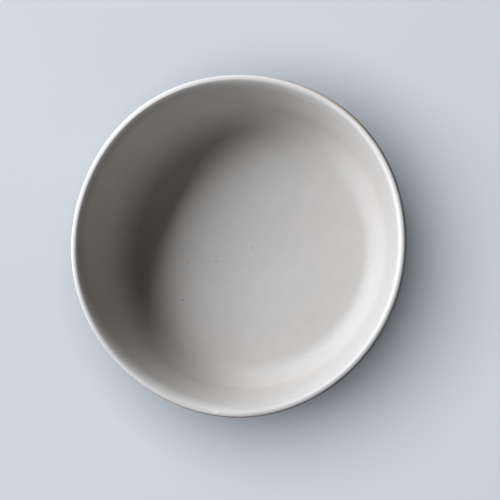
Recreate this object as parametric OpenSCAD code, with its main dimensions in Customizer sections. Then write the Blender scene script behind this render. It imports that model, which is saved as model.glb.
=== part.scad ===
// A shallow round stoneware dish that stands on a foot ring.
// It is a fired clay body under two glaze coats. A light satin coat lines the inside
// and rolls over the lip, and a dark matt coat covers the outside down to a bare
// clay band above the foot ring. Millimetres, +Z up, origin under the middle of the
// dish on the plane that the foot ring stands on.

/* [Dish] */
// Outside diameter at the lip
dish_d = 210; // [205:5:230]
// Height from the foot ring's bearing face to the top of the lip
dish_h = 62; // [59:1:66]

/* [Lip] */
// Radius of the roll from the inner wall to the crest of the lip
roll_r = 17; // [15:0.5:19]
// Flare of the inside where the roll meets the crest, in degrees from upright
roll_flare = 47; // [45:1:50]
// Radius of the domed crest
crest_r = 2.8; // [2.4:0.2:3.6]
// Rounding of the crest's outer edge
lip_edge_r = 0.6; // [0.5:0.05:1]
// Radius of the lip's nearly upright outer face
lip_face_r = 26; // [22:1:30]
// Flare under the outer face, where the lip draws in to the wall, in degrees
tuck_flare = 40; // [36:1:42]

/* [Inside] */
// Thickness in the middle of the floor, glaze included
floor_t = 5.6; // [5:0.2:7]
// Slope of the floor where it meets the cove, in degrees
floor_slope = 2.4; // [1:0.1:3]
// Radius of the cove between the floor and the wall
cove_r = 17.5; // [16:0.5:19]
// Flare of the inner wall just above the cove, in degrees from upright
inner_flare_low = 11; // [10:0.5:12]
// Flare of the inner wall under the lip's roll, in degrees from upright
inner_flare_high = 20; // [19.5:0.5:22]

/* [Outside] */
// Flare of the outer wall under the lip, in degrees from upright
outer_flare_high = 20; // [18:0.5:21]
// Flare of the outer wall above the turn, in degrees from upright
outer_flare_low = 14; // [12:0.5:15]
// Radius of the turn from the outer wall to the underside
turn_r = 24; // [21:1:24]
// Slope of the underside between the turn and the foot ring, in degrees
base_slope = 6; // [5:1:7]

/* [Foot ring] */
// Outside diameter of the ring, as a share of the dish's
foot_share = 0.62; // [0.59:0.01:0.62]
// Width of the bearing face
bearing_w = 3.4; // [2.5:0.1:5]
// Height of the recess inside the foot ring
recess_h = 4; // [3:0.5:4.5]
// Taper of both sides of the ring, in degrees from upright
foot_taper = 8; // [4:1:10]

/* [Glaze] */
// Thickness of each glaze coat
glaze_t = 0.4; // [0.3:0.05:0.5]
// Width of the bare clay band left above the foot ring
bare_w = 3; // [2:0.25:3]
// How far round the lip the light coat reaches, in degrees past the crest
lip_wrap = 79; // [76:1:82]

/* [Hidden] */
$fn = 96;

// Steps that each stretch of the outline is drawn in
floor_steps = 4;
cove_steps = 14;
wall_steps = 6;
roll_steps = 8;
crest_steps = 6;
edge_steps = 4;
// How far the crest tips outward before its rounded edge, in degrees
crest_tip = 20;
// Flare at the bottom of the lip's outer face, in degrees from upright
face_flare = 6;
// Radii under the lip's outer face: round its lower edge, and into the wall
tuck_r = 6;
neck_r = 16;

// Small roundings of the foot ring: its two lower edges, and the recess corner
edge_r = 0.8;
recess_r = 2;
// Height of the foot ring's outer side under the glazed underside
foot_side_h = 3.6;

floor_z = recess_h + floor_t;
foot_r = foot_share*dish_d/2;

// Headings along the outline, in degrees from +X in the (radius, height) plane. The
// outline starts at the axis, crosses the floor, climbs the inner wall, rounds the
// lip and comes down outside, so the clay is always on its right-hand side.
cove_end = 90 - inner_flare_low;
inner_wall_end = 90 - inner_flare_high;
roll_end = 90 - roll_flare;
coats_meet = -lip_wrap;
face_end = -90 - face_flare;
tuck_end = -90 - tuck_flare;
outer_wall_start = -90 - outer_flare_high;
outer_wall_end = -90 - outer_flare_low;
turn_end = base_slope - 180;

// Step from the start to the end of an arc with radius 1 that turns from a0 to a1
function unit_arc(a0, a1) = [sin(a1) - sin(a0), cos(a0) - cos(a1)];

// Points after p along an arc. A left turn has a positive radius, a right turn a
// negative one.
function arc(p, r, a0, a1, steps) =
    [for (i = [1:steps]) p + r*unit_arc(a0, a0 + (a1 - a0)*i/steps)];

// Amounts m and n for which m*u + n*v = w
function blend_of(u, v, w) =
    let (det = u.x*v.y - u.y*v.x)
    [(w.x*v.y - w.y*v.x)/det, (u.x*w.y - u.y*w.x)/det];

function last(list) = list[len(list) - 1];
function after_first(list) = [for (i = [1:len(list) - 1]) list[i]];
function reversed(list) = [for (i = [len(list) - 1:-1:0]) list[i]];

// The inner wall rolls outward into the domed crest. Past its rounded outer edge the
// lip has a nearly upright face, and then draws in to the outer wall.
crest_top = [dish_d/2 - crest_r*sin(crest_tip)
    - lip_edge_r*(sin(lip_wrap) - sin(crest_tip)) - lip_face_r*(1 - sin(lip_wrap)),
    dish_h];
roll_start = crest_top + crest_r*unit_arc(roll_end, 0)
    + roll_r*unit_arc(inner_wall_end, roll_end);
face_top = crest_top - crest_r*unit_arc(0, -crest_tip)
    - lip_edge_r*unit_arc(-crest_tip, coats_meet);
wall_top = face_top - lip_face_r*unit_arc(coats_meet, face_end)
    - tuck_r*unit_arc(face_end, tuck_end) + neck_r*unit_arc(tuck_end, outer_wall_start);

// The floor and the inner wall are shallow arcs whose radii close the inside outline
// between the axis and the lip.
inside_gap = roll_start - [0, floor_z] - cove_r*unit_arc(floor_slope, cove_end);
inside_radii = blend_of(unit_arc(0, floor_slope),
    unit_arc(cove_end, inner_wall_end), inside_gap);
floor_r = inside_radii[0];
inner_wall_r = inside_radii[1];

// The outer wall's radius and the underside's length close the outside outline
// between the lip and the top of the foot ring.
foot_join = [foot_r + foot_side_h*tan(foot_taper), foot_side_h];
outside_gap = foot_join - wall_top + turn_r*unit_arc(outer_wall_end, turn_end);
underside_heading = [cos(turn_end), sin(turn_end)];
outside_fit = blend_of(unit_arc(outer_wall_start, outer_wall_end), underside_heading,
    outside_gap);
outer_wall_r = outside_fit[0];
underside_w = outside_fit[1];

// Outline inside the dish, from the axis to where the two coats meet, set depth
// below the glazed surface.
function inner_line(depth) =
    let (start = [0, floor_z - depth],
        floor_arc = arc(start, floor_r + depth, 0, floor_slope, floor_steps),
        cove = arc(last(floor_arc), cove_r + depth, floor_slope, cove_end, cove_steps),
        wall = arc(last(cove), inner_wall_r + depth, cove_end, inner_wall_end,
            wall_steps),
        roll = arc(last(wall), depth - roll_r, inner_wall_end, roll_end, roll_steps),
        crest = arc(last(roll), depth - crest_r, roll_end, 0, crest_steps),
        tip = arc(last(crest), depth - crest_r, 0, -crest_tip, edge_steps),
        edge = arc(last(tip), depth - lip_edge_r, -crest_tip, coats_meet, edge_steps))
    concat([start], floor_arc, cove, wall, roll, crest, tip, edge);

// Outline outside the dish, from where the two coats meet to the glaze edge above
// the foot ring, set depth below the glazed surface.
function outer_line(depth) =
    let (start = last(inner_line(depth)),
        face = arc(start, depth - lip_face_r, coats_meet, -90, edge_steps),
        face_under = arc(last(face), depth - lip_face_r, -90, face_end, edge_steps),
        tuck = arc(last(face_under), depth - tuck_r, face_end, tuck_end, edge_steps),
        neck = arc(last(tuck), neck_r + depth, tuck_end, outer_wall_start, edge_steps),
        wall = arc(last(neck), outer_wall_r + depth, outer_wall_start, outer_wall_end,
            wall_steps),
        turn = arc(last(wall), depth - turn_r, outer_wall_end, turn_end, cove_steps),
        glaze_edge = last(turn) + (underside_w - bare_w)*underside_heading)
    concat([start], face, face_under, tuck, neck, wall, turn, [glaze_edge]);

// Outline of the foot ring and the recess, from the ring's outer side to the axis
function foot_line() =
    let (bearing_out = foot_r - edge_r*cos(foot_taper),
        bearing_in = bearing_out - bearing_w,
        edge_h = edge_r*(1 - sin(foot_taper)),
        outer_side = [foot_r, edge_h],
        outer_edge = arc(outer_side, -edge_r, -90 - foot_taper, -180, edge_steps),
        inner_edge = arc([bearing_in, 0], -edge_r, 180, 90 + foot_taper, edge_steps),
        corner_z = recess_h - recess_r*(1 - sin(foot_taper)),
        corner_x = last(inner_edge).x - (corner_z - edge_h)*tan(foot_taper),
        corner = arc([corner_x, corner_z], recess_r, 90 + foot_taper, 180, edge_steps))
    concat([outer_side], outer_edge, [[bearing_in, 0]], inner_edge,
        [[corner_x, corner_z]], corner, [[0, recess_h]]);

module coat(glazed, clay) {
    rotate_extrude() polygon(concat(glazed, reversed(clay)));
}

module body() {
    outside = outer_line(glaze_t);
    color("#b9ac9b")
        rotate_extrude()
            polygon(concat(inner_line(glaze_t), after_first(outside),
                [last(outside) + bare_w*underside_heading], foot_line()));
}

module inner_glaze() {
    color("#d3d1cd") coat(inner_line(0), inner_line(glaze_t));
}

module outer_glaze() {
    color("#2d2c2c") coat(outer_line(0), outer_line(glaze_t));
}

body();
inner_glaze();
outer_glaze();
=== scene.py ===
"""Looks of a shallow stoneware dish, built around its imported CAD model.

The dish is a fired clay body under two glaze coats, a light one inside and over the
lip, and a dark one outside. Each is turned here as its own closed mesh, finer than the
CAD solids and in the same place. Lengths are in metres and angles in degrees. Angles
round the dish run anticlockwise from +X, seen from above.
"""
import math

import bpy
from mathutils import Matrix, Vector, noise


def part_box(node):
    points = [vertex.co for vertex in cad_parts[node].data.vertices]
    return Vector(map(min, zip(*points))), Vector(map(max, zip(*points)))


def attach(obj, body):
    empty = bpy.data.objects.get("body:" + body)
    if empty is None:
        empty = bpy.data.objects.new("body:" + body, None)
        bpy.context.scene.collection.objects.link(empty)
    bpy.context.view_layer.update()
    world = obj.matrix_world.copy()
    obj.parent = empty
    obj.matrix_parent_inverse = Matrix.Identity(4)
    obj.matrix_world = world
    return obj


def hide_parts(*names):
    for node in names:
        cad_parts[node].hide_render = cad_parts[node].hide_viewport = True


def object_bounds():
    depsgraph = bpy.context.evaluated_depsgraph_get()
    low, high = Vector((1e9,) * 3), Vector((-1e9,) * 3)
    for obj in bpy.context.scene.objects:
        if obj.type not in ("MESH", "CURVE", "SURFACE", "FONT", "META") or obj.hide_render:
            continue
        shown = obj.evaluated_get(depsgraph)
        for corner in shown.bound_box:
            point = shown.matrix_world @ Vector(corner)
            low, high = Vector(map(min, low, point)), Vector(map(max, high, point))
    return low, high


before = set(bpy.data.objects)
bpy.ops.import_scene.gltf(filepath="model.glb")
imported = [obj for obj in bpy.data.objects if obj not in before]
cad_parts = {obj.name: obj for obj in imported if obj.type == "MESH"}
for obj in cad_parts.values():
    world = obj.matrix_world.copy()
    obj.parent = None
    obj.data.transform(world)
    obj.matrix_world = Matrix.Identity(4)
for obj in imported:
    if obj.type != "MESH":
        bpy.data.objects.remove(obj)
cad_low, cad_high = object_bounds()

MM = 0.001
BODY = "root"


# ---------------------------------------------------------------- the dish's outline

# Overall sizes come from the CAD boxes.
lip_top = cad_high.z
rim_r = (cad_high.x - cad_low.x) / 2
clay_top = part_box("body")[1].z
glaze_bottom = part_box("inner_glaze")[0].z
glaze_t = lip_top - clay_top

# The rest is what the design holds: thicknesses, flares and radii.
roll_r = 17.0 * MM
roll_flare = 47.0
crest_r = 2.8 * MM
crest_tip = 20.0
lip_edge_r = 0.6 * MM
lip_face_r = 26.0 * MM
face_flare = 6.0
tuck_flare = 40.0
tuck_r = 6.0 * MM
neck_r = 16.0 * MM
floor_top = glaze_bottom + glaze_t
floor_slope = 2.4
cove_r = 17.5 * MM
inner_flare_low = 11.0
inner_flare_high = 20.0
outer_flare_high = 20.0
outer_flare_low = 14.0
turn_r = 24.0 * MM
base_slope = 6.0
foot_r = 0.62 * rim_r
foot_side_h = 3.6 * MM
foot_taper = 8.0
bearing_w = 3.4 * MM
recess_h = 4.0 * MM
edge_r = 0.8 * MM
recess_corner_r = 2.0 * MM
bare_w = 3.0 * MM
lip_wrap = 79.0

# How finely the meshes are drawn
AROUND = 384            # points round the dish
FINE = 0.9 * MM         # spacing along the outline
ON_AXIS = 1e-9          # a smaller radius counts as on the axis
SHARP_ANGLE = 50        # edges that turn by more than this are shaded sharp


def sin(a):
    return math.sin(math.radians(a))


def cos(a):
    return math.cos(math.radians(a))


def unit_arc(a0, a1):
    """Step from end to end of an arc of radius 1 that turns from heading a0 to a1."""
    return Vector((sin(a1) - sin(a0), cos(a0) - cos(a1)))


def blend_of(u, v, w):
    """The amounts m and n for which m*u + n*v = w."""
    det = u.x * v.y - u.y * v.x
    return (w.x * v.y - w.y * v.x) / det, (u.x * w.y - u.y * w.x) / det


def arc(points, r, a0, a1, spacing=FINE):
    """Adds an arc to points, a left turn with r above 0 and a right turn below."""
    start = points[-1]
    steps = max(3, math.ceil(abs(r * math.radians(a1 - a0)) / spacing))
    for i in range(1, steps + 1):
        points.append(start + r * unit_arc(a0, a0 + (a1 - a0) * i / steps))


def line(points, end, spacing=FINE):
    """Adds a straight run to points."""
    start = points[-1]
    steps = max(1, math.ceil((end - start).length / spacing))
    for i in range(1, steps + 1):
        points.append(start.lerp(end, i / steps))


# Headings along the outline in the (radius, height) plane. It starts at the axis,
# crosses the floor, climbs the inner wall, rounds the lip and comes down outside.
cove_end = 90 - inner_flare_low
inner_wall_end = 90 - inner_flare_high
roll_end = 90 - roll_flare
coats_meet = -lip_wrap
face_end = -90 - face_flare
tuck_end = -90 - tuck_flare
outer_wall_start = -90 - outer_flare_high
outer_wall_end = -90 - outer_flare_low
turn_end = base_slope - 180
underside_heading = Vector((cos(turn_end), sin(turn_end)))


# The inner wall rolls outward into a domed crest. Past its rounded outer edge the lip
# has a nearly upright face, and then draws in to the outer wall.
def crest_to_face(face_heading):
    """Step from the top of the crest to where the lip's face has that heading."""
    return -(crest_r * unit_arc(0, -crest_tip) + lip_edge_r * unit_arc(-crest_tip, coats_meet)
             + lip_face_r * unit_arc(coats_meet, face_heading))


crest_top = Vector((rim_r - crest_to_face(-90).x, lip_top))
roll_start = crest_top + crest_r * unit_arc(roll_end, 0)
roll_start += roll_r * unit_arc(inner_wall_end, roll_end)
wall_top = crest_top + crest_to_face(face_end) - tuck_r * unit_arc(face_end, tuck_end)
wall_top += neck_r * unit_arc(tuck_end, outer_wall_start)

inside_gap = roll_start - Vector((0, floor_top)) - cove_r * unit_arc(floor_slope, cove_end)
floor_r, inner_wall_r = blend_of(
    unit_arc(0, floor_slope), unit_arc(cove_end, inner_wall_end), inside_gap)

foot_join = Vector((foot_r + foot_side_h * math.tan(math.radians(foot_taper)),
                    foot_side_h))
outside_gap = foot_join - wall_top + turn_r * unit_arc(outer_wall_end, turn_end)
outer_wall_r, underside_w = blend_of(
    unit_arc(outer_wall_start, outer_wall_end), underside_heading, outside_gap)


def inner_outline(depth):
    """From the axis to where the coats meet, set depth below the glazed surface."""
    points = [Vector((0, floor_top - depth))]
    arc(points, floor_r + depth, 0, floor_slope)
    arc(points, cove_r + depth, floor_slope, cove_end)
    arc(points, inner_wall_r + depth, cove_end, inner_wall_end)
    arc(points, depth - roll_r, inner_wall_end, roll_end, FINE / 2)
    arc(points, depth - crest_r, roll_end, -crest_tip, FINE / 6)
    arc(points, depth - lip_edge_r, -crest_tip, coats_meet, FINE / 6)
    return points


def outer_outline(depth):
    """From where the coats meet to the glaze edge above the foot ring."""
    points = [inner_outline(depth)[-1]]
    arc(points, depth - lip_face_r, coats_meet, face_end, FINE / 2)
    arc(points, depth - tuck_r, face_end, tuck_end, FINE / 2)
    arc(points, neck_r + depth, tuck_end, outer_wall_start, FINE / 2)
    arc(points, outer_wall_r + depth, outer_wall_start, outer_wall_end)
    arc(points, depth - turn_r, outer_wall_end, turn_end)
    line(points, points[-1] + (underside_w - bare_w) * underside_heading)
    return points


def foot_outline(start):
    """From the glaze edge over the bare band, the foot ring and the recess."""
    points = [start]
    line(points, start + bare_w * underside_heading, FINE / 2)
    edge_h = edge_r * (1 - sin(foot_taper))
    line(points, Vector((foot_r, edge_h)), FINE / 2)
    arc(points, -edge_r, -90 - foot_taper, -180, FINE / 4)
    line(points, points[-1] - Vector((bearing_w, 0)), FINE / 2)
    arc(points, -edge_r, 180, 90 + foot_taper, FINE / 4)
    corner_h = recess_h - recess_corner_r * (1 - sin(foot_taper))
    rise = corner_h - edge_h
    lean = rise * math.tan(math.radians(foot_taper))
    line(points, points[-1] + Vector((-lean, rise)), FINE / 2)
    arc(points, recess_corner_r, 90 + foot_taper, 180, FINE / 3)
    line(points, Vector((0, recess_h)))
    return points


# ---------------------------------------------------------------- turning the meshes

def smooth(low, high, x):
    """0 below low, 1 above high, and a smooth ramp between them."""
    t = min(1.0, max(0.0, (x - low) / (high - low)))
    return t * t * (3 - 2 * t)


# How the lip stands out of true after drying and firing, outward and upward. Each row
# gives the number of lobes round the dish, how far they stand out, and the angle of the
# first high place.
OUT_OF_ROUND = ((2, 0.77 * MM, 80), (3, 0.45 * MM, 39), (4, 0.23 * MM, 29),
                (5, 0.28 * MM, -21))
OUT_OF_LEVEL = ((2, 0.14 * MM, -51.5662), (3, 0.07 * MM, 0))
LEVEL_DROP = 0.21 * MM          # keeps the highest lobes under the top of the lip
FULL_WARP_R = 0.7 * rim_r       # inside this radius the dish is closer to true


def lobed(lobes, angle):
    """How far some lobes together stand out at an angle."""
    return sum(far * cos(count * (angle - first)) for count, far, first in lobes)


def place(r, z, angle):
    """The point at radius r, height z and angle, on the slightly warped dish."""
    share = smooth(recess_h, lip_top, z)
    r = r + lobed(OUT_OF_ROUND, angle) * share * min(1.0, r / FULL_WARP_R)
    z = z + (lobed(OUT_OF_LEVEL, angle) - LEVEL_DROP) * share * share
    return Vector((r * cos(angle), r * sin(angle), z))


def normals_of(points):
    """Unit normals on the air side of an outline whose clay is on its right."""
    found = []
    for i in range(len(points)):
        along = points[min(i + 1, len(points) - 1)] - points[max(i - 1, 0)]
        found.append(Vector((-along.y, along.x)).normalized())
    return found


def turn(name, seen, hidden, relief):
    """A closed mesh turned about +Z from the seen outline and the hidden one, which
    runs back under it. relief(point, angle) raises the seen surface. A row of the mesh
    is a single point where the outline meets the axis."""
    normals = normals_of(seen) + [None] * len(hidden)
    outline = seen + hidden
    on_axis = [p.x < ON_AXIS for p in outline]
    verts, rows = [], []
    for p, n, at_axis in zip(outline, normals, on_axis):
        row = []
        for k in range(1 if at_axis else AROUND):
            angle = 360 * k / AROUND
            q = p if n is None or at_axis else p + n * relief(p, angle)
            row.append(len(verts))
            verts.append(place(q.x, q.y, angle))
        rows.append(row)
    faces = []
    for i in range(len(outline)):
        a, b = rows[i], rows[(i + 1) % len(outline)]
        if len(a) == 1 and len(b) == 1:
            continue
        for k in range(AROUND):
            m = (k + 1) % AROUND
            if len(a) == 1:
                faces.append((a[0], b[k], b[m]))
            elif len(b) == 1:
                faces.append((a[m], a[k], b[0]))
            else:
                faces.append((a[k], b[k], b[m], a[m]))
    mesh = bpy.data.meshes.new(name)
    mesh.from_pydata(verts, [], faces)
    mesh.polygons.foreach_set("use_smooth", [True] * len(faces))
    mesh.set_sharp_from_angle(angle=math.radians(SHARP_ANGLE))
    mesh.validate()
    mesh.update()
    piece = bpy.data.objects.new(name, mesh)
    bpy.context.scene.collection.objects.link(piece)
    return piece


FULL_RINGS_R = 8 * MM     # inside this radius the turning marks fade
WANDER_SPREAD = 0.7       # how quickly the marks' wandering changes round the dish


def ring_relief(depth, pitch, wander):
    """Turning marks: a soft spiral wave, up to depth above and below the surface. Its
    turns are about pitch apart, and up to wander of a pitch out of place."""
    def relief(p, angle):
        travel = p.x + p.y
        spot = Vector((WANDER_SPREAD * cos(angle), WANDER_SPREAD * sin(angle),
                       travel / (4 * pitch)))
        turns = travel / pitch + angle / 360 + wander * noise.noise(spot)
        return depth * sin(360 * turns) * min(1.0, p.x / FULL_RINGS_R)
    return relief


# A small ragged nick in the crest, near its outer edge
NICK_R = rim_r - 0.6 * MM
NICK_ANGLE = 263.3
NICK_W = 2.2 * MM
NICK_DEPTH = 0.18 * MM
NICK_RAGGED = 0.24 * MM   # how far its depth varies either way
NICK_GRAIN = 1800         # features of that noise to the metre
nick_at = Vector((NICK_R * cos(NICK_ANGLE), NICK_R * sin(NICK_ANGLE), lip_top))

# The glaze lies thicker in two places on the crest, on its inner shoulder and across the
# dish on its outer one. Each row gives the middle's angle, the spread in degrees, the
# thickness that is added there, and the point of the outline.
SHOULDER_HEADING = 34     # heading of the outline on the crest's inner shoulder
inner_shoulder = crest_top + crest_r * unit_arc(SHOULDER_HEADING, 0)
outer_shoulder = crest_top + Vector((2 * lip_edge_r, -0.5 * lip_edge_r))
THICK_PLACES = ((130, 38, 0.38 * MM, inner_shoulder),
                (325, 45, 0.12 * MM, outer_shoulder))
THICK_W = 1 * MM          # how far each place reaches along the outline


def thickening(p, angle):
    """How much thicker the glaze is on the crest than elsewhere."""
    total = 0.0
    for middle, spread, thicker_by, point in THICK_PLACES:
        off = math.remainder(angle - middle, 360) / spread
        away = (p - point).length / THICK_W
        total += thicker_by * math.exp(-off * off - away * away)
    return total


def nicked(p, angle):
    """How deep the nick is at a point of the outline."""
    here = Vector((p.x * cos(angle), p.x * sin(angle), p.y))
    away = (here - nick_at).length / NICK_W
    if away >= 1:
        return 0.0
    depth = NICK_DEPTH + NICK_RAGGED * noise.noise(here * NICK_GRAIN)
    return depth * smooth(0, 1, 1 - away)


# The inside shows faint throwing marks, which end between these heights under the lip.
throwing = ring_relief(depth=0.012 * MM, pitch=9 * MM, wander=0.35)
THROWN_UP_TO, LIP_FROM = lip_top - 4 * MM, lip_top - 2 * MM


def light_relief(p, angle):
    on_lip = smooth(THROWN_UP_TO, LIP_FROM, p.y)
    raised = throwing(p, angle) * (1 - on_lip)
    if on_lip:
        raised += thickening(p, angle) - nicked(p, angle)
    return raised


# The dark coat was brushed on, and its lower edge has beaded.
brushing = ring_relief(depth=0.020 * MM, pitch=5.5 * MM, wander=0.5)
BRUSHED_FROM = 10 * MM    # distance from the edge where the brushing shows in full
BEAD_H = 0.22 * MM
BEAD_W = 1.3 * MM
BEAD_MIDDLE = 0.9         # distance of the bead's middle from the edge, in BEAD_W
glaze_edge = outer_outline(0)[-1]


def dark_relief(p, angle):
    from_edge = (p - glaze_edge).length
    bead = BEAD_H * math.exp(-(from_edge / BEAD_W - BEAD_MIDDLE) ** 2)
    return brushing(p, angle) * smooth(0, BRUSHED_FROM, from_edge) + bead


# The bare clay shows the marks of the trimming tool, except on the bearing face.
trimming = ring_relief(depth=0.035 * MM, pitch=1.7 * MM, wander=0.3)
SMOOTH_UP_TO, TRIMMED_FROM = 0.05 * MM, 0.6 * MM


def clay_relief(p, angle):
    return trimming(p, angle) * smooth(SMOOTH_UP_TO, TRIMMED_FROM, p.y)


def thinned(points):
    """Every fourth point of an outline, and both its ends."""
    return points[:-1:4] + [points[-1]]


glazed_inside = inner_outline(0)
inside = thinned(inner_outline(glaze_t))
outside = thinned(outer_outline(glaze_t))

light_glaze = turn("light_glaze_coat", glazed_inside, inside[::-1], light_relief)
dark_glaze = turn("dark_glaze_coat", outer_outline(0), outside[::-1], dark_relief)
clay = turn("clay_body", foot_outline(outside[-1]), inside + outside[1:-1], clay_relief)

for piece, node, slot in ((light_glaze, "inner_glaze", "light_glaze"),
                          (dark_glaze, "outer_glaze", "dark_glaze"),
                          (clay, "body", "stoneware")):
    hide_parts(node)
    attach(piece, BODY)


# ---------------------------------------------------------------- materials

class Shader:
    """A material's node tree, with short calls for the nodes used here."""

    def __init__(self, name):
        self.material = bpy.data.materials.new(name)
        self.material.use_nodes = True
        self.tree = self.material.node_tree
        self.bsdf = self.tree.nodes["Principled BSDF"]
        self.at = self.tree.nodes.new("ShaderNodeTexCoord").outputs["Object"]

    def put(self, socket, value):
        """Links value to the socket if it is a socket, and sets it if it isn't."""
        if isinstance(value, bpy.types.NodeSocket):
            self.tree.links.new(value, socket)
        else:
            socket.default_value = value

    def node(self, kind, output=0, settings=(), **inputs):
        """Adds a node and gives one of its outputs. An input is named with _ for each
        space, or is i0, i1 and so on where it goes by number."""
        made = self.tree.nodes.new("ShaderNode" + kind)
        for name, value in dict(settings).items():
            setattr(made, name, value)
        for name, value in inputs.items():
            key = int(name[1:]) if name[1:].isdigit() else name.replace("_", " ")
            self.put(made.inputs[key], value)
        return made.outputs[output]

    def math(self, operation, a, b):
        return self.node("Math", settings={"operation": operation}, i0=a, i1=b)

    def times(self, a, b):
        return self.math("MULTIPLY", a, b)

    def measure(self, operation, vector):
        """The distance from a point, or the dot product with a vector."""
        return self.node("VectorMath", output="Value", settings={"operation": operation},
                         i0=self.at, i1=vector)

    def ramp(self, value, low, high, to_low=0.0, to_high=1.0):
        """A smooth ramp of value from low..high to to_low..to_high."""
        return self.node("MapRange", settings={"interpolation_type": "SMOOTHSTEP"},
                         Value=value, From_Min=low, From_Max=high,
                         To_Min=to_low, To_Max=to_high)

    def fade(self, value, low, high):
        """1 below low, 0 above high, and a smooth ramp between them."""
        return self.ramp(value, low, high, 1.0, 0.0)

    def noise(self, scale, detail=2, roughness=0.5):
        """Cloudy noise with about scale features to the metre."""
        return self.node("TexNoise", Vector=self.at, Scale=scale, Detail=detail,
                         Roughness=roughness)

    def patches(self, scale, low=0.3, high=0.7, to=(0.0, 1.0), **kind):
        """Soft patches: to[0] where the noise is under low, and to[1] where over high."""
        return self.ramp(self.noise(scale, **kind), low, high, *to)

    def lay(self, colour, over, where, strength=1.0):
        """One colour laid over another by a mask of 0 to 1, times strength."""
        share = where if strength == 1.0 else self.times(where, strength)
        return self.node("Mix", output=2, settings={"data_type": "RGBA"},
                         i0=share, i6=over, i7=colour)

    def specks(self, scale, size):
        """Round soft-edged specks up to size in radius, in random places 1/scale apart."""
        cells = self.node("TexVoronoi", Vector=self.at, Scale=scale).node
        random = self.split(cells.outputs["Color"], 0)
        radius = self.times(random, size * scale)
        share = self.math("DIVIDE", cells.outputs["Distance"], radius)
        return self.fade(share, 0.6, 1.0)

    def split(self, vector, axis):
        """One coordinate of a vector: 0, 1 or 2 for X, Y or Z."""
        return self.node("SeparateXYZ", output=axis, Vector=vector)

    def radius(self):
        """Distance from the dish's axis."""
        flat = self.node("VectorMath", settings={"operation": "MULTIPLY"},
                         i0=self.at, i1=(1, 1, 0))
        return self.node("VectorMath", output="Value", settings={"operation": "LENGTH"},
                         i0=flat)

    def bump(self, height, distance, strength, below=None):
        """A normal that stands for relief up to distance high, or deep where distance is
        below 0. It can lie over another normal."""
        bumped = self.node("Bump", Height=height, Distance=distance, Strength=strength)
        if below is not None:
            self.put(bumped.node.inputs["Normal"], below)
        return bumped

    def finish(self, piece, colour, roughness, normal):
        """Puts the material on a piece."""
        self.put(self.bsdf.inputs["Base Color"], colour)
        self.put(self.bsdf.inputs["Roughness"], roughness)
        self.put(self.bsdf.inputs["Normal"], normal)
        piece.data.materials.append(self.material)


def rgb(r, g, b):
    return (r, g, b, 1.0)


# The light coat's colours
GLAZE_GREY = rgb(0.612, 0.563, 0.490)
GLAZE_PALE = rgb(0.628, 0.582, 0.510)
POOLED = rgb(0.50, 0.460, 0.405)
SMALL_IRON = rgb(0.20, 0.18, 0.16)
LARGE_IRON = rgb(0.12, 0.10, 0.09)
# whiter glaze on the lip, partly a painted highlight
ROLL_WHITE_AND_HIGHLIGHT = rgb(0.93, 0.860, 0.763)
NICK_WHITE = rgb(0.97, 0.94, 0.84)
TOASTED = rgb(0.60, 0.42, 0.26)

# Where they are. Drops are measured down from the top of the lip.
ROLL_AND_HIGHLIGHT_DROP = (0.2 * MM, 3 * MM)                  # the white roll and its painted highlight fade over these drops
PAINTED_SHADE_DARKEST_Y = -0.95 * rim_r                 # painted shade: the roll is darkest on the -Y side
PAINTED_SHADE_CLEAR_Y = 0.3 * rim_r
PAINTED_LIT_ANGLE = 249.0                               # painted light: a lit band on the inner wall below the lip here
PAINTED_LIT_REACH = (0.87 * rim_r, 0.94 * rim_r)        # distances out towards that angle
PAINTED_LIT_DROP = (1 * MM, 7 * MM)
TOASTED_R = (rim_r - 1.1 * MM, rim_r - 0.4 * MM)
TOASTED_DROP = (0.15 * MM, 0.5 * MM)

# The larger iron specks inside: distance from the dish's axis, angle round the dish,
# the speck's own radius, and how dark it is.
LARGE_SPECKS = ((2 * MM, 20, 1.1 * MM, 0.30), (23 * MM, 200, 1.2 * MM, 0.35),
                (41 * MM, 192, 0.7 * MM, 0.80), (54 * MM, 217, 0.9 * MM, 0.60),
                (82 * MM, 170, 0.9 * MM, 0.55), (90 * MM, 185, 0.8 * MM, 0.50),
                (88 * MM, 177, 0.5 * MM, 0.45), (65 * MM, 266, 0.6 * MM, 0.35),
                (61 * MM, 310, 0.6 * MM, 0.35), (80 * MM, 300, 0.8 * MM, 0.45),
                (78 * MM, 352, 0.9 * MM, 0.30), (36 * MM, 250, 0.5 * MM, 0.35))


def inside_point(r, angle):
    """The point of the inner glaze at distance r from the axis."""
    z = [p.y for p in glazed_inside if p.x <= r][-1]
    return Vector((r * cos(angle), r * sin(angle), z))


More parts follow.
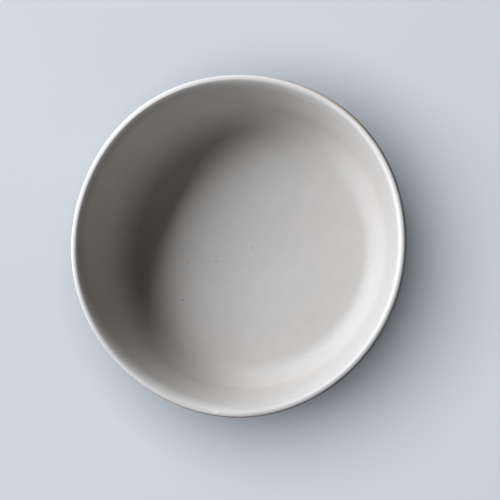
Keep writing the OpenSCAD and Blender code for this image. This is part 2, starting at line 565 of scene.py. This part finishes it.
def light_glaze_finish():
    s = Shader("light_satin_glaze")
    cloud = s.patches(14, low=0.35, high=0.65, detail=3)
    iron = s.specks(95, 0.45 * MM)
    colour = s.lay(GLAZE_PALE, over=GLAZE_GREY, where=cloud)
    colour = s.lay(POOLED, over=colour, where=s.patches(160), strength=0.12)
    colour = s.lay(SMALL_IRON, over=colour, where=iron, strength=0.45)
    for r, angle, size, strength in LARGE_SPECKS:
        away = s.measure("DISTANCE", inside_point(r, angle))
        speck = s.ramp(away, 0.3 * size, size, strength, 0.0)
        colour = s.lay(LARGE_IRON, over=colour, where=speck)

    # The lip carries a whiter roll of glaze, made whiter still as a painted highlight. It is
    # painted shaded towards the -Y side, and a painted lit band reaches down inside in one
    # place.
    drop = s.math("SUBTRACT", lip_top, s.split(s.at, 2))
    roll_and_highlight = s.fade(drop, *ROLL_AND_HIGHLIGHT_DROP)
    # Painted shade: the roll is less white towards -Y.
    painted_shade_by_y = s.ramp(s.split(s.at, 1), PAINTED_SHADE_DARKEST_Y, PAINTED_SHADE_CLEAR_Y, 0.3, 1.0)
    colour = s.lay(ROLL_WHITE_AND_HIGHLIGHT, over=colour, where=s.times(roll_and_highlight, painted_shade_by_y))
    # Painted light: a lit band down the inner wall at one angle.
    towards = s.measure("DOT_PRODUCT", (cos(PAINTED_LIT_ANGLE), sin(PAINTED_LIT_ANGLE), 0))
    painted_lit_band = s.times(s.ramp(towards, *PAINTED_LIT_REACH, 0.0, 0.35), s.fade(drop, *PAINTED_LIT_DROP))
    colour = s.lay(ROLL_WHITE_AND_HIGHLIGHT, over=colour, where=painted_lit_band)

    # The nick has laid bare the white inside of the coat.
    rough_edge = s.patches(900, to=(0.35 * NICK_W, 1.15 * NICK_W))
    broken = s.math("LESS_THAN", s.measure("DISTANCE", nick_at), rough_edge)
    colour = s.lay(NICK_WHITE, over=colour, where=broken)

    # Where the coat thins over the outer edge of the lip, the toasted clay shows.
    toasted = s.times(s.ramp(s.radius(), *TOASTED_R), s.ramp(drop, *TOASTED_DROP))
    colour = s.lay(TOASTED, over=colour, where=toasted, strength=0.7)

    # The roll is glossier than the satin inside.
    satin = s.patches(40, detail=3, to=(0.54, 0.62))
    roughness = s.math("SUBTRACT", satin, s.times(roll_and_highlight, 0.16))
    orange_peel = s.bump(s.noise(420), 0.02 * MM, strength=0.6)
    s.bsdf.inputs["IOR"].default_value = 1.5
    s.finish(light_glaze, colour, roughness, orange_peel)


# The dark coat's colours, and where it thins at the lip and at its lower edge
DARK_GREY = rgb(0.030, 0.029, 0.029)
DARK_WARM = rgb(0.046, 0.044, 0.042)
DARK_SPECK = rgb(0.11, 0.095, 0.08)
THIN_BROWN = rgb(0.15, 0.085, 0.050)
THIN_AT_LIP = (lip_top - 2.2 * MM, lip_top - 1.3 * MM)
THIN_AT_EDGE = (glaze_edge.x + 0.2 * MM, glaze_edge.x + 2.2 * MM)
UNDERSIDE_TOP = (5 * MM, 6 * MM)


def dark_glaze_finish():
    s = Shader("dark_matt_glaze")
    mottle = s.patches(55, low=0.35, detail=4, roughness=0.6)
    specks = s.specks(210, 0.5 * MM)
    colour = s.lay(DARK_WARM, over=DARK_GREY, where=mottle)
    colour = s.lay(DARK_SPECK, over=colour, where=specks, strength=0.5)

    # The coat breaks to brown where it thins.
    height = s.split(s.at, 2)
    at_lip = s.ramp(height, *THIN_AT_LIP)
    at_edge = s.times(s.fade(s.radius(), *THIN_AT_EDGE), s.fade(height, *UNDERSIDE_TOP))
    thin = s.math("MAXIMUM", at_lip, at_edge)
    colour = s.lay(THIN_BROWN, over=colour, where=thin, strength=0.6)

    roughness = s.patches(90, detail=3, to=(0.46, 0.60))
    grain = s.bump(s.noise(1500, detail=3, roughness=0.6), 0.04 * MM, strength=0.5)
    orange_peel = s.bump(s.noise(260), 0.06 * MM, strength=0.5, below=grain)
    s.bsdf.inputs["Specular IOR Level"].default_value = 0.3
    s.finish(dark_glaze, colour, roughness, orange_peel)


# The bare clay's colours
CLAY_GREY = rgb(0.40, 0.335, 0.265)
CLAY_BUFF = rgb(0.47, 0.405, 0.33)
CLAY_IRON = rgb(0.13, 0.095, 0.07)
CLAY_GROG = rgb(0.66, 0.62, 0.56)
FLAMED = rgb(0.36, 0.20, 0.11)
CLAY_ROUGHNESS = 0.88


def clay_finish():
    s = Shader("bare_stoneware")
    tone = s.patches(30, detail=4, roughness=0.6)
    iron = s.specks(420, 0.45 * MM)
    grog = s.specks(360, 0.30 * MM)
    colour = s.lay(CLAY_BUFF, over=CLAY_GREY, where=tone)
    colour = s.lay(CLAY_IRON, over=colour, where=iron, strength=0.8)
    colour = s.lay(CLAY_GROG, over=colour, where=grog, strength=0.6)
    # The kiln's flame toasts the clay beside the glaze edge.
    flamed = s.ramp(s.radius(), foot_r - 0.5 * MM, glaze_edge.x, 0.0, 0.65)
    colour = s.lay(FLAMED, over=colour, where=flamed)
    grit = s.bump(s.noise(2200, detail=4, roughness=0.7), 0.10 * MM, strength=0.7)
    pores = s.bump(s.specks(900, 0.25 * MM), -0.08 * MM, strength=0.8, below=grit)
    s.finish(clay, colour, CLAY_ROUGHNESS, pores)


light_glaze_finish()
dark_glaze_finish()
clay_finish()


# ---------------------------------------------------------------- floor, light, camera

FLOOR_HALF = 12.0       # half of the floor's side
FLOOR_DARKER = rgb(0.64, 0.665, 0.70)
FLOOR_LIGHTER = rgb(0.67, 0.695, 0.73)
FLOOR_ROUGHNESS = 0.8


def square(name, half):
    """A level square round the origin."""
    mesh = bpy.data.meshes.new(name)
    corners = [(-half, -half, 0), (half, -half, 0), (half, half, 0), (-half, half, 0)]
    mesh.from_pydata(corners, [], [(0, 1, 2, 3)])
    made = bpy.data.objects.new(name, mesh)
    bpy.context.scene.collection.objects.link(made)
    return made


def floor_finish():
    s = Shader("pale_floor")
    colour = s.lay(FLOOR_LIGHTER, over=FLOOR_DARKER, where=s.patches(3, detail=3))
    grain = s.bump(s.noise(60, detail=3), 0.1 * MM, strength=0.2)
    s.finish(floor, colour, FLOOR_ROUGHNESS, grain)


floor = square("floor", FLOOR_HALF)
floor_finish()

# What the lights and the camera face, and the tints of the lights
lip_centre = Vector((0, 0, lip_top))
COOL = (0.805, 0.868, 1.0)
SLIGHTLY_COOL = (0.93, 0.965, 1.0)
PLAIN = (1.0, 1.0, 1.0)


def direction(azimuth, elevation):
    """Unit vector at azimuth, anticlockwise from +X, and elevation above level."""
    return Vector((cos(azimuth) * cos(elevation), sin(azimuth) * cos(elevation),
                   sin(elevation)))


def softbox(name, azimuth, elevation, away, width, height, watts, tint, lights_only):
    """A rectangular soft light that faces the middle of the lip, for some pieces only."""
    data = bpy.data.lights.new(name, "AREA")
    data.shape = "RECTANGLE"
    data.size = width
    data.size_y = height
    data.energy = watts
    data.color = tint
    lamp = bpy.data.objects.new(name, data)
    back = direction(azimuth, elevation)
    lamp.location = lip_centre + back * away
    lamp.rotation_euler = back.to_track_quat("Z", "Y").to_euler()
    bpy.context.scene.collection.objects.link(lamp)
    lit = bpy.data.collections.new(name + "_lit")
    for piece in lights_only:
        lit.objects.link(piece)
    lamp.light_linking.receiver_collection = lit


# The key light shines in over one side of the lip. A fill from across the dish lightens
# the shadow inside, and a long low light picks out the crest.
softbox("key", azimuth=153.8, elevation=32.8, away=1.19, width=0.78, height=0.534,
        watts=25, tint=COOL, lights_only=[light_glaze, dark_glaze, clay])
softbox("inside_fill", azimuth=-86, elevation=23, away=1.4, width=1.0, height=1.0,
        watts=3.5, tint=COOL, lights_only=[light_glaze])
softbox("lip_light", azimuth=131, elevation=2.5, away=1.2, width=2.0, height=0.15,
        watts=4.6, tint=COOL, lights_only=[light_glaze])
softbox("floor_light", azimuth=150, elevation=74, away=2.0, width=2.6, height=2.6,
        watts=66, tint=SLIGHTLY_COOL, lights_only=[floor])
for side, azimuth, elevation in (("right", -20, 12), ("back", 70, 15)):
    softbox("outside_fill_" + side, azimuth, elevation, away=1.4, width=1.2, height=0.8,
            watts=3, tint=PLAIN, lights_only=[dark_glaze, clay])

# Next to no light comes from all round, so that the shadow inside stays deep.
WORLD_COLOUR = rgb(0.80, 0.84, 0.90)
WORLD_STRENGTH = 0.001

world = bpy.data.worlds.new("studio")
bpy.context.scene.world = world
world.use_nodes = True
background = world.node_tree.nodes["Background"]
background.inputs["Color"].default_value = WORLD_COLOUR
background.inputs["Strength"].default_value = WORLD_STRENGTH

# The camera looks down into the dish from a little to the right of its axis. It aims
# beside the middle of the lip, because the dish isn't in the middle of the frame.
VIEW_TILT = 10.0
VIEW_TURN = -21.0
VIEW_AWAY = 12 * rim_r
FRAME_W = 2.918 * rim_r
AIM_RIGHT = 0.0804 * rim_r
AIM_DOWN = 0.0359 * rim_r
SENSOR = 36.0

camera_data = bpy.data.cameras.new("camera")
camera = bpy.data.objects.new("camera", camera_data)
bpy.context.scene.collection.objects.link(camera)
bpy.context.scene.camera = camera
back = direction(VIEW_TURN, 90 - VIEW_TILT)
tip = Vector((0, 0, 1)).rotation_difference(back)
right, up = tip @ Vector((1, 0, 0)), tip @ Vector((0, 1, 0))
camera.location = lip_centre + back * VIEW_AWAY
aim = lip_centre + right * AIM_RIGHT - up * AIM_DOWN
aim_back = (camera.location - aim).normalized()
camera.rotation_mode = "QUATERNION"
camera.rotation_quaternion = back.rotation_difference(aim_back) @ tip
camera_data.sensor_width = SENSOR
camera_data.lens = SENSOR * VIEW_AWAY / FRAME_W

bpy.context.scene.view_settings.view_transform = "Standard"
